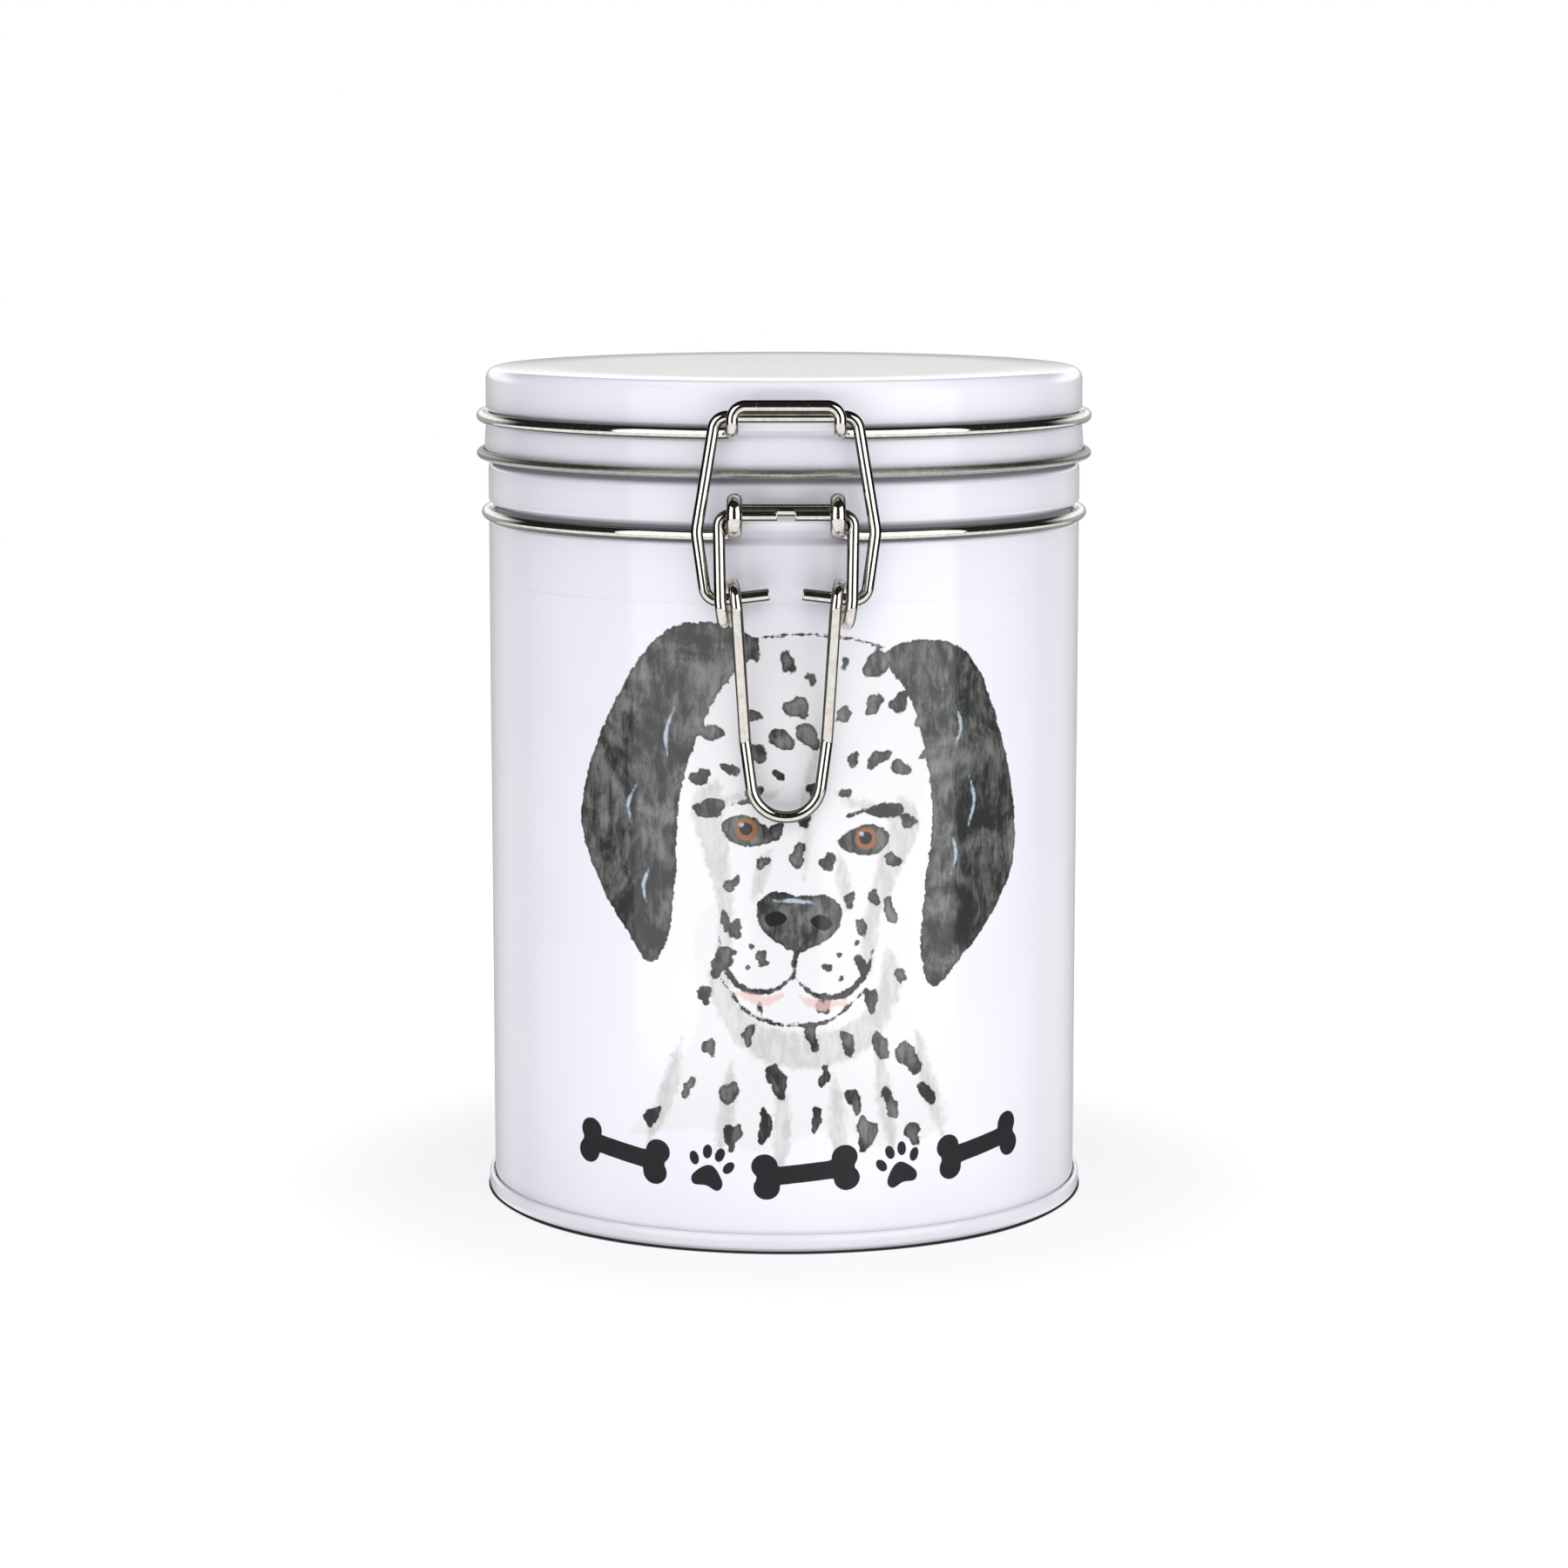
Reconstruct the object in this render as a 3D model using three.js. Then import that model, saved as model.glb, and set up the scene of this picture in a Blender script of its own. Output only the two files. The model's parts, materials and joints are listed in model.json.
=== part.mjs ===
// A round clip-top storage tin: seamed body, lifting lid with a gasket, and an over-centre wire clasp.
// Millimetres, +Z up. The origin is on the tin's axis at the floor, and the clasp faces -Y.
import * as THREE from "three";

// ---- driving dimensions ----
const BODY_R = 54; // outside of the body wall
const SHEET = 0.3; // tinplate thickness
const TOP_Z = 152; // top of the lid
const SEAM_R = 55; // outside of the bottom double seam
const SEAM_H = 3; // height of the bottom seam and of the recessed base panel
const RIM_Z = 148; // top of the body's filling rim
const NECK_R = 52.2; // neck that stands inside the lid
const LID_R = 54.4; // outside of the lid wall
const CURL_R = 0.85; // section radius of the lid's rolled lower edge
const CURL_Z = 136.4;
const CURL_PATH_R = 55.24; // from the tin's axis to the middle of that roll
const GASKET_IN_R = 49;
const GASKET_OUT_R = 51.6;

const WIRE_R = 1.05; // all the wire is 2.1 mm thick
const BODY_WIRE = { r: 54.25, z: 125.64 }; // middle of the ring in the body's groove
const LID_WIRE = { r: 55.08, z: 143.2 }; // middle of the ring in the lid's groove

const LEVER_AXIS = { y: -58.2, z: 129.6 }; // the lever turns in the body ring's two front eyes
const BAIL_AXIS = { y: -57.8, z: 115.4 }; // the bail's pins turn high in the lever's two coils
const HINGE_AXIS = { y: 58.45, z: 131.5 }; // the lid turns in the body ring's two rear coils
const CROSSBAR = { y: -58.4, z: 146.3 }; // the part of the bail that the lid's hook holds

const EYE = { x: 8.8, r: 2.7, widen: 1.26 }; // front eyes, pressed a little flat
const EYE_BAR_RISE = 0.6; // the bar between the eyes is this much above the lever's pins
const LINK_TOP_X = 11.5; // lever's side links
const COIL = { y: -58, z: 114.45, outX: 11.2, inX: 8.4, r: 3.4 }; // lever coils, one turn from outX to inX
const REAR_COIL = { outX: 8.2, inX: 5.8, r: 2.45 };
const REAR_LEG_X = 11.2; // lid wire's legs down to the hinge
const RING_END_X = 13; // where both rings leave their grooves
const HOOK = { x: 9.15, y: -60.85, lowZ: 143.9, topZ: 148.2 };
const HANDLE_KNEE = { x: 7.05, y: -56.3, z: 90.7 }; // where the handle straightens to hang beside the wall
const HANDLE_END = { x: 5.3, y: -56.6, z: 77.4, bend: 5.9 };

const LATHE_STEPS = 56;
const RING_STEPS = 25; // stations in half a ring
const WIRE_SIDES = 8;
const BEND_STEP = THREE.MathUtils.degToRad(30); // angle between stations in a bend
const DEG = Math.PI / 180;

// ---- sheet metal: revolved closed profiles of [radius, height] points ----

// Points on an arc in a profile, from one angle to another in degrees, 0 being outwards.
function arc(r, z, radius, fromDeg, toDeg, steps) {
  return Array.from({ length: steps + 1 }, (_, i) => {
    const a = (fromDeg + ((toDeg - fromDeg) * i) / steps) * DEG;
    return [r + radius * Math.cos(a), z + radius * Math.sin(a)];
  });
}

function revolve(profile) {
  const onAxis = profile[0][0] === 0;
  const closed = onAxis ? profile : [...profile, profile[0]];
  const points = closed.map(([r, z]) => new THREE.Vector2(r, z));
  return new THREE.LatheGeometry(points, LATHE_STEPS).rotateX(Math.PI / 2);
}

// A groove pressed into an outer wall, listed upwards. Its floor is depth below the wall's radius.
function groove(wallR, depth, lowZ, floorLowZ, floorHighZ, highZ) {
  return [
    [wallR, lowZ],
    [wallR - depth, floorLowZ],
    [wallR - depth, floorHighZ],
    [wallR, highZ],
  ];
}

// The body's wall: ring groove, shoulder, neck and a rim rolled inwards.
function bodyShell() {
  const rimR = 0.9;
  const shoulderZ = 134.3;
  const wall = [
    [BODY_R, 0.95],
    ...groove(BODY_R, 1.2, 124.1, 125.1, 126.5, 127.9),
    [BODY_R, shoulderZ],
    [NECK_R, shoulderZ + 1.3],
  ];
  const inside = wall.map(([r, z]) => [r - SHEET, z]).reverse();
  const rim = arc(NECK_R - rimR, RIM_Z - rimR, rimR, 0, 225, 5);
  return revolve([...wall, ...rim, [NECK_R - SHEET, RIM_Z - 2.2 * rimR], ...inside]);
}

// The bottom: a recessed panel and a channel that folds over the lower edge of the wall.
function baseEnd() {
  const chuckR = 52.95;
  const channelR = 53.3;
  const hookR = 54.35;
  const floorZ = 0.55;
  return revolve([
    [0, SEAM_H - SHEET],
    [chuckR - 0.4, SEAM_H - SHEET],
    [chuckR, SEAM_H - 0.7],
    [chuckR, 0.3],
    [chuckR + 0.3, 0],
    [SEAM_R - 0.5, 0],
    [SEAM_R, 0.5],
    [SEAM_R, SEAM_H - 0.4],
    [SEAM_R - 0.3, SEAM_H],
    [hookR, SEAM_H - 0.2],
    [hookR, floorZ],
    [channelR, floorZ],
    [channelR, SEAM_H],
    [0, SEAM_H],
  ]);
}

// The lid: flat top, rounded shoulder, wire groove, and a lower edge rolled outwards.
function lidCap() {
  const shoulder = 2.2;
  const flare = 0.2;
  const grooveZ = [141.8, 142.7, 143.7, 144.6];
  return revolve([
    [0, TOP_Z - SHEET],
    ...arc(LID_R - shoulder, TOP_Z - shoulder, shoulder - SHEET, 90, 0, 3),
    ...groove(LID_R - SHEET, 0.7, ...grooveZ).reverse(),
    [LID_R + flare - SHEET, CURL_Z],
    ...arc(CURL_PATH_R, CURL_Z, CURL_R, -140, 90, 5),
    [LID_R + flare, CURL_Z + CURL_R],
    ...groove(LID_R, 0.7, ...grooveZ),
    ...arc(LID_R - shoulder, TOP_Z - shoulder, shoulder, 0, 90, 3),
    [0, TOP_Z],
  ]);
}

function lidGasket() {
  const low = RIM_Z + 0.3;
  const high = TOP_Z - SHEET - 0.2;
  return revolve([
    [GASKET_OUT_R, low],
    [GASKET_OUT_R, high],
    [GASKET_IN_R, high],
    [GASKET_IN_R, low],
  ]);
}

// ---- bent wire: a round section swept along straights, bends and coils ----

// A curve through stations, with the same parameter step between each two of them.
class WirePath extends THREE.Curve {
  constructor(stations) {
    super();
    this.stations = stations;
  }
  getPoint(t, target = new THREE.Vector3()) {
    const at = t * (this.stations.length - 1);
    const i = Math.min(Math.floor(at), this.stations.length - 2);
    return target.lerpVectors(this.stations[i], this.stations[i + 1], at - i);
  }
  // The mean of the directions before and after a station, so that a bend is mitred evenly.
  getTangent(t, target = new THREE.Vector3()) {
    const i = Math.round(t * (this.stations.length - 1));
    const here = this.stations[i];
    const before = this.stations[i - 1];
    const after = this.stations[i + 1];
    target.set(0, 0, 0);
    if (before) target.add(here.clone().sub(before).normalize());
    if (after) target.add(after.clone().sub(here).normalize());
    return target.normalize();
  }
  getUtoTmapping(u) {
    return u;
  }
}

// The angle in degrees, in the YZ plane, at which a straight run from a place meets a coil.
function tangentDeg(place, axis, radius, side) {
  const away = Math.hypot(place.y - axis.y, place.z - axis.z);
  const towards = Math.atan2(place.z - axis.z, place.y - axis.y);
  return (towards + side * Math.acos(radius / away)) / DEG;
}

const point = (x, y, z) => new THREE.Vector3(x, y, z);
const bend = (x, y, z, radius) => ({ corner: point(x, y, z), radius });

// Stations round a bend between the straight runs before and after its corner.
function bendStations(before, { corner, radius }, after) {
  const u = before.clone().sub(corner).normalize();
  const v = after.clone().sub(corner).normalize();
  const half = u.angleTo(v) / 2;
  const turn = Math.PI - 2 * half;
  const middle = u.clone().add(v).normalize().multiplyScalar(radius / Math.sin(half)).add(corner);
  const start = u.clone().multiplyScalar(radius / Math.tan(half)).add(corner).sub(middle);
  const axis = u.clone().cross(start).normalize();
  const steps = Math.max(2, Math.ceil(turn / BEND_STEP));
  return Array.from({ length: steps + 1 }, (_, i) =>
    start.clone().applyAxisAngle(axis, (turn * i) / steps).add(middle),
  );
}

// Turns a list of points and bends into stations.
function layWire(run) {
  return run.flatMap((item, i) => {
    if (item.isVector3) return [item];
    const next = run[i + 1];
    const last = run[i - 1];
    return bendStations(last.corner ?? last, item, next.corner ?? next);
  });
}

// A turn round an axis along X. Angles are in degrees in the YZ plane, 0 being +Y and 90 being +Z.
function coil(axis, radius, fromX, toX, fromDeg, toDeg) {
  const steps = Math.ceil((Math.abs(toDeg - fromDeg) * DEG) / BEND_STEP);
  return Array.from({ length: steps + 1 }, (_, i) => {
    const t = i / steps;
    const a = (fromDeg + (toDeg - fromDeg) * t) * DEG;
    return point(
      fromX + (toX - fromX) * t,
      axis.y + radius * Math.cos(a),
      axis.z + radius * Math.sin(a),
    );
  });
}

// The right half of a ring, from the front to the rear, between the two places where it leaves its groove.
function halfRing({ r, z }) {
  const open = Math.asin(RING_END_X / r);
  return Array.from({ length: RING_STEPS + 1 }, (_, i) => {
    const a = open + ((Math.PI - 2 * open) * i) / RING_STEPS;
    return point(r * Math.sin(a), -r * Math.cos(a), z);
  });
}

// A wire that is the same on both sides of the tin, swept from its right half.
// A half that starts on the middle plane joins its mirror image there; pairs of wires are made apart.
function sweep(stations) {
  const section = new THREE.Shape();
  for (let i = 0; i < WIRE_SIDES; i++) {
    const a = (2 * Math.PI * i) / WIRE_SIDES;
    const put = i ? "lineTo" : "moveTo";
    section[put](WIRE_R * Math.cos(a), WIRE_R * Math.sin(a));
  }
  section.closePath();
  return new THREE.ExtrudeGeometry(section, {
    steps: stations.length - 1,
    extrudePath: new WirePath(stations),
  });
}

function symmetricWire(rightHalf) {
  const left = rightHalf
    .filter((p) => p.x > 0)
    .map((p) => point(-p.x, p.y, p.z))
    .reverse();
  return sweep([...left, ...rightHalf]);
}

// The front eyes are pressed flat, so their wire is wider along X.
function widenEyes(geometry) {
  const places = geometry.attributes.position;
  for (let i = 0; i < places.count; i++) {
    const x = places.getX(i);
    const eyeX = Math.sign(x) * EYE.x;
    const fromAxis = Math.hypot(places.getY(i) - LEVER_AXIS.y, places.getZ(i) - LEVER_AXIS.z);
    const inEye = Math.abs(x - eyeX) < 1.01 * WIRE_R && fromAxis < EYE.r + 1.01 * WIRE_R;
    if (inEye) places.setX(i, eyeX + (x - eyeX) * EYE.widen);
  }
  return geometry;
}

// The ring round the body: a bar and two eyes in front, and a coil at each rear end.
function bodyWire() {
  const barY = LEVER_AXIS.y + EYE.r;
  const barZ = LEVER_AXIS.z + EYE_BAR_RISE;
  const eye = coil(LEVER_AXIS, EYE.r, EYE.x, EYE.x, 30, 270);
  const { r, z } = BODY_WIRE;
  const ring = halfRing(BODY_WIRE);
  const rearY = HINGE_AXIS.y + REAR_COIL.r;
  const wire = symmetricWire([
    point(0, barY, barZ),
    ...layWire([point(3, barY, barZ), bend(EYE.x, barY, barZ, 0.8), eye[0]]),
    ...eye.slice(1),
    ...layWire([eye.at(-1), bend(EYE.x, -r - 0.6, z + 0.4, 2), ring[0]]).slice(1, -1),
    ...ring,
    ...layWire([
      ring.at(-1),
      bend(REAR_COIL.outX, r + 0.2, z, 2),
      bend(REAR_COIL.outX, rearY, z, 2.2),
      point(REAR_COIL.outX, rearY, HINGE_AXIS.z),
    ]).slice(1, -1),
    ...coil(HINGE_AXIS, REAR_COIL.r, REAR_COIL.outX, REAR_COIL.inX, 0, 345),
  ]);
  return widenEyes(wire);
}

// The ring round the lid: a hook in front, and two legs at the rear that end as hinge pins.
function lidWire() {
  const pinEndX = 3.8;
  const { r, z } = LID_WIRE;
  const ring = halfRing(LID_WIRE);
  return symmetricWire([
    point(0, HOOK.y, HOOK.topZ),
    ...layWire([
      point(3, HOOK.y, HOOK.topZ),
      bend(HOOK.x, HOOK.y, HOOK.topZ, 2.25),
      bend(HOOK.x, HOOK.y, HOOK.lowZ, 2),
      bend(HOOK.x, -r - 0.3, z + 0.2, 1.6),
      ring[0],
    ]).slice(0, -1),
    ...ring,
    ...layWire([
      ring.at(-1),
      bend(REAR_LEG_X, r + 2.3, z, 1.8),
      bend(REAR_LEG_X, HINGE_AXIS.y, HINGE_AXIS.z, 1.8),
      point(pinEndX, HINGE_AXIS.y, HINGE_AXIS.z),
    ]).slice(1),
  ]);
}

// The lever: two pins, two side links, a coil below each link, and a long handle loop.
function lever() {
  const pinEndX = 1.5;
  const tangentIn = tangentDeg(LEVER_AXIS, COIL, COIL.r, 1); // where the link meets the coil
  const tangentOut = tangentDeg(HANDLE_KNEE, COIL, COIL.r, -1) + 720; // where the handle leaves it
  const turn = coil(COIL, COIL.r, COIL.outX, COIL.inX, tangentIn, tangentOut);
  const right = [
    ...layWire([
      point(pinEndX, LEVER_AXIS.y, LEVER_AXIS.z),
      bend(LINK_TOP_X, LEVER_AXIS.y, LEVER_AXIS.z, 2),
      turn[0],
    ]).slice(0, -1),
    ...turn,
    ...layWire([
      turn.at(-1),
      bend(HANDLE_KNEE.x, HANDLE_KNEE.y, HANDLE_KNEE.z, 4),
      bend(HANDLE_END.x, HANDLE_END.y, HANDLE_END.z, HANDLE_END.bend),
      point(0, HANDLE_END.y, HANDLE_END.z),
    ]).slice(1),
  ];
  return symmetricWire(right.reverse());
}

// The bail: a crossbar under the lid's hook, two bowed sides, and two pins in the lever's coils.
function bail() {
  return symmetricWire(
    layWire([
      point(0, CROSSBAR.y, CROSSBAR.z),
      bend(12, CROSSBAR.y, CROSSBAR.z, 2.3),
      bend(15.25, -58.05, 126.8, 6),
      bend(13.6, BAIL_AXIS.y, BAIL_AXIS.z - 0.65, 2.4),
      point(2.85, BAIL_AXIS.y, BAIL_AXIS.z + 0.6),
    ]),
  );
}

// ---- materials and assembly ----

const lacquer = { color: 0xf0eff6, roughness: 0.25, metalness: 0 };
const nickel = { color: 0xc9c4b8, roughness: 0.15, metalness: 1 };
const silicone = { color: 0xe6e6e2, roughness: 0.6, metalness: 0 };

const tin = new THREE.Group();
for (const [name, geometry, look] of [
  ["body_shell", bodyShell(), lacquer],
  ["base_end", baseEnd(), lacquer],
  ["body_wire", bodyWire(), nickel],
  ["lid_cap", lidCap(), lacquer],
  ["lid_gasket", lidGasket(), silicone],
  ["lid_wire", lidWire(), nickel],
  ["lever", lever(), nickel],
  ["bail", bail(), nickel],
]) {
  const mesh = new THREE.Mesh(geometry, new THREE.MeshStandardMaterial(look));
  mesh.name = name;
  tin.add(mesh);
}

export default tin;
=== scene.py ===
"""The looks of a round clip-top treat tin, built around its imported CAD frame.
Metres, +Z up, with the clasp towards -Y."""

import json
import math
import random

import bpy
import numpy as np
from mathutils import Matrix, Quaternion, Vector


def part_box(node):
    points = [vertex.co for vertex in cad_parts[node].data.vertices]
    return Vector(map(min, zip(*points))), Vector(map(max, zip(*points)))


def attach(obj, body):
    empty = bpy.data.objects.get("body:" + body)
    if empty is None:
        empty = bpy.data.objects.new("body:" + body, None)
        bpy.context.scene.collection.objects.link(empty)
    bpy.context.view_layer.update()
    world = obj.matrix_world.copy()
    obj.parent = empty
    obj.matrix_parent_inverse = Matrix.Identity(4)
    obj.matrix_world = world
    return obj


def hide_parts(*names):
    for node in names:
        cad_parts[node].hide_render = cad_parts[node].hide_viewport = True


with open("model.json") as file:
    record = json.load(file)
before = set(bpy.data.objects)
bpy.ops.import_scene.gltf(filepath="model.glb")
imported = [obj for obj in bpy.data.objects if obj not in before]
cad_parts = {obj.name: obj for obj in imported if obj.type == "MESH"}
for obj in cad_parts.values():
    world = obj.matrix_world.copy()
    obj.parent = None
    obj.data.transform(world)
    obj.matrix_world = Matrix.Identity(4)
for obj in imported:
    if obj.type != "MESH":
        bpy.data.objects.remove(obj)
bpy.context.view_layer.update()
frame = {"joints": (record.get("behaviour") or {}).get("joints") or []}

# -------- sizes

MM = 0.001
JOINT_AT = {j["name"]: Vector(j["pos_m"]) for j in frame["joints"]}
LEVER_AXIS = JOINT_AT["lever_pivot"]
BAIL_AXIS = JOINT_AT["bail_pivot"]
HINGE_AXIS = JOINT_AT["lid_hinge"]

BODY_R, _, RIM_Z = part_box("body_shell")[1]
SEAM_R, _, SEAM_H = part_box("base_end")[1]
CURL_OUT_R, _, TOP_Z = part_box("lid_cap")[1]
LID_LOW_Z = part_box("lid_cap")[0].z
WIRE_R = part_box("lever")[1].z - LEVER_AXIS.z

SHEET = 0.3 * MM
NECK_R = 52.2 * MM
LID_R = 54.4 * MM
CURL_R = 0.85 * MM
BODY_RING_R, BODY_RING_Z = 54.25 * MM, 125.64 * MM
LID_RING_R, LID_RING_Z = 55.08 * MM, 143.2 * MM
CROSSBAR_Y, CROSSBAR_Z = -58.4 * MM, 146.3 * MM

ROUND_STEPS = 240  # faces round the tin
WIRE_SIDES = 20
BEND_STEP = math.radians(6)


# -------- helpers


def add_object(name, data):
    thing = bpy.data.objects.new(name, data)
    bpy.context.scene.collection.objects.link(thing)
    return thing


def feed(tree, socket, value):
    """A socket gets a number, a colour or another node's output."""
    if isinstance(value, bpy.types.NodeSocket):
        tree.links.new(value, socket)
    else:
        socket.default_value = value


def give(tree, node, **values):
    """Keywords set the node's inputs by name with _ for a space, or else its properties."""
    for key, value in values.items():
        name = key.replace("_", " ")
        if name in node.inputs:
            feed(tree, node.inputs[name], value)
        else:
            setattr(node, key, value)


def add_node(tree, kind, **values):
    node = tree.nodes.new(kind)
    give(tree, node, **values)
    return node


def object_place(tree):
    """Where a point is on its own piece, in metres."""
    return add_node(tree, "ShaderNodeTexCoord").outputs["Object"]


def attribute(tree, name, output):
    return add_node(tree, "ShaderNodeAttribute", attribute_name=name).outputs[output]


def maths(tree, operation, a, b):
    node = add_node(tree, "ShaderNodeMath", operation=operation)
    feed(tree, node.inputs[0], a)
    feed(tree, node.inputs[1], b)
    return node.outputs[0]


def times(tree, a, b):
    return maths(tree, "MULTIPLY", a, b)


def vector_maths(tree, operation, a, b, output="Vector"):
    node = add_node(tree, "ShaderNodeVectorMath", operation=operation)
    feed(tree, node.inputs[0], a)
    feed(tree, node.inputs["Scale"] if operation == "SCALE" else node.inputs[1], b)
    return node.outputs[output]


def mix_colour(tree, amount, a, b, blend="MIX"):
    node = add_node(tree, "ShaderNodeMix", data_type="RGBA", blend_type=blend)
    for place, value in zip((0, 6, 7), (amount, a, b)):
        feed(tree, node.inputs[place], value)
    return node.outputs[2]


def choose(tree, amount, a, b):
    """The number a, or b where the amount is 1."""
    node = add_node(tree, "ShaderNodeMix", data_type="FLOAT")
    for place, value in zip((0, 2, 3), (amount, a, b)):
        feed(tree, node.inputs[place], value)
    return node.outputs[0]


def ramp(tree, value, low, high, to_low=0.0, to_high=1.0):
    """A number that eases from to_low to to_high as the value goes from low to high."""
    node = add_node(tree, "ShaderNodeMapRange", clamp=True, interpolation_type="SMOOTHSTEP")
    give(tree, node, Value=value, From_Min=low, From_Max=high, To_Min=to_low, To_Max=to_high)
    return node.outputs[0]


def noise(tree, vector, scale, detail=3.0, roughness=0.5, distortion=0.0):
    node = add_node(tree, "ShaderNodeTexNoise", Vector=vector, Scale=scale, Detail=detail)
    give(tree, node, Roughness=roughness, Distortion=distortion)
    return node.outputs[0]


def scaled(tree, vector, scale):
    return add_node(tree, "ShaderNodeMapping", Vector=vector, Scale=scale).outputs[0]


def new_material(name):
    material = bpy.data.materials.new(name)
    material.use_nodes = True
    tree = material.node_tree
    tree.nodes.clear()
    shader = add_node(tree, "ShaderNodeBsdfPrincipled")
    output = add_node(tree, "ShaderNodeOutputMaterial")
    tree.links.new(shader.outputs[0], output.inputs[0])
    return material, tree, shader


def bump(tree, shader, height, distance):
    node = add_node(tree, "ShaderNodeBump", Strength=1.0, Distance=distance, Height=height)
    give(tree, shader, Normal=node.outputs[0])


# -------- materials

WHITE = (0.885, 0.88, 0.93, 1)
LID_WHITE_PAINTED_LIGHTER = (0.90, 0.895, 0.945, 1)  # painted light: a lighter copy of the white lacquer, so the lid reads brighter than the wall as if better lit


def gloss_lacquer(tree, shader, place):
    """Stoved lacquer under clear varnish: faint orange peel, and roughness that wanders a little."""
    peel = noise(tree, place, 420, 2)
    fine = noise(tree, place, 2600, 2)
    height = maths(tree, "ADD", peel, times(tree, fine, 0.25))
    bump(tree, shader, height, 0.0035 * MM)
    cloud = noise(tree, place, 35, 3)
    give(tree, shader, IOR=1.5, Roughness=ramp(tree, cloud, 0.3, 0.7, 0.13, 0.19))
    give(tree, shader, Coat_Weight=1.0, Coat_IOR=1.65, Coat_Roughness=0.06)
    return cloud


def lacquer_material(name, white):
    material, tree, shader = new_material(name)
    place = object_place(tree)
    cloud = gloss_lacquer(tree, shader, place)
    give(tree, shader, Base_Color=cool_white(tree, cloud, white))
    return material


def cool_white(tree, cloud, white):
    cool = (white[0] * 0.975, white[1] * 0.975, white[2] * 0.99, 1)
    return mix_colour(tree, ramp(tree, cloud, 0.25, 0.75), cool, white)


def dark_ink(tree, streaks, pools, grain, edge):
    """Grey-black paint, thinner along the brush's streaks and darkest where it pooled at its edge."""
    tone = maths(tree, "ADD", times(tree, streaks, 0.55), times(tree, pools, 0.75))
    tone = maths(tree, "ADD", tone, times(tree, grain, 0.16))
    light_grey, dark_grey = (0.22, 0.225, 0.21, 1), (0.032, 0.036, 0.034, 1)
    grey = mix_colour(tree, ramp(tree, tone, 0.62, 0.92), dark_grey, light_grey)
    pooled = ramp(tree, edge, -0.75, -0.1, 0.0, 0.55)
    return mix_colour(tree, pooled, grey, (0.028, 0.031, 0.030, 1))


def print_material():
    """Watercolour printed on the lacquer: each ink feathers at its edge, pools there, and granulates."""
    material, tree, shader = new_material("printed_lacquer")
    place = object_place(tree)
    colour = cool_white(tree, gloss_lacquer(tree, shader, place), WHITE)
    brush = scaled(tree, place, (1.6, 1.6, 0.5))
    torn = maths(tree, "SUBTRACT", noise(tree, place, 800, 4, 0.62), 0.5)
    streaks = noise(tree, brush, 420, 5, 0.65, 0.6)
    pools = noise(tree, place, 95, 4, 0.6, 0.8)
    grain = noise(tree, place, 5200, 3, 0.7)

    def coverage(ink, raggedness, feather, strength=1.0):
        """How much of the ink lies here, and how far inside its edge this is."""
        edge = attribute(tree, "ink_" + ink, "Fac")
        edge = maths(tree, "ADD", edge, times(tree, torn, raggedness))
        return ramp(tree, edge, feather, -feather, 0.0, strength), edge

    def lay(ink, tint, raggedness, feather, strength=1.0):
        nonlocal colour
        amount, _ = coverage(ink, raggedness, feather, strength)
        colour = mix_colour(tree, amount, colour, tint)

    paper = mix_colour(tree, ramp(tree, grain, 0.35, 0.65), (0.79, 0.79, 0.80, 1), (0.85, 0.85, 0.86, 1))
    lay("paper", paper, 1.6, 0.5)
    wash = mix_colour(tree, ramp(tree, streaks, 0.35, 0.65), (0.50, 0.50, 0.48, 1), (0.66, 0.66, 0.64, 1))
    lay("wash", wash, 2.6, 0.6, 0.75)
    amount, edge = coverage("dark", 1.5, 0.14)
    colour = mix_colour(tree, amount, colour, dark_ink(tree, streaks, pools, grain, edge))
    lay("pink", (0.78, 0.50, 0.45, 1), 2.0, 0.3, 0.65)
    lay("brown", (0.30, 0.13, 0.05, 1), 0.5, 0.12)
    lay("black", (0.022, 0.022, 0.024, 1), 0.12, 0.06)
    lay("blue", (0.50, 0.60, 0.72, 1), 0.9, 0.16, 0.85)
    give(tree, shader, Base_Color=colour)
    return material


def tinplate_material(name, dark, light, metal):
    """Bare tinplate: satin grey, rubbed round the tin by the forming rolls."""
    material, tree, shader = new_material(name)
    place = object_place(tree)
    rubbed = noise(tree, scaled(tree, place, (40, 40, 5200)), 1.0, 4, 0.6)
    flakes = noise(tree, place, 1500, 3, 0.6)
    tone = maths(tree, "ADD", times(tree, rubbed, 0.6), times(tree, flakes, 0.4))
    give(tree, shader, Base_Color=mix_colour(tree, ramp(tree, tone, 0.3, 0.7), dark, light))
    give(tree, shader, Metallic=metal, Roughness=ramp(tree, tone, 0.3, 0.7, 0.3, 0.42))
    bump(tree, shader, tone, 0.004 * MM)
    return material


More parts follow.
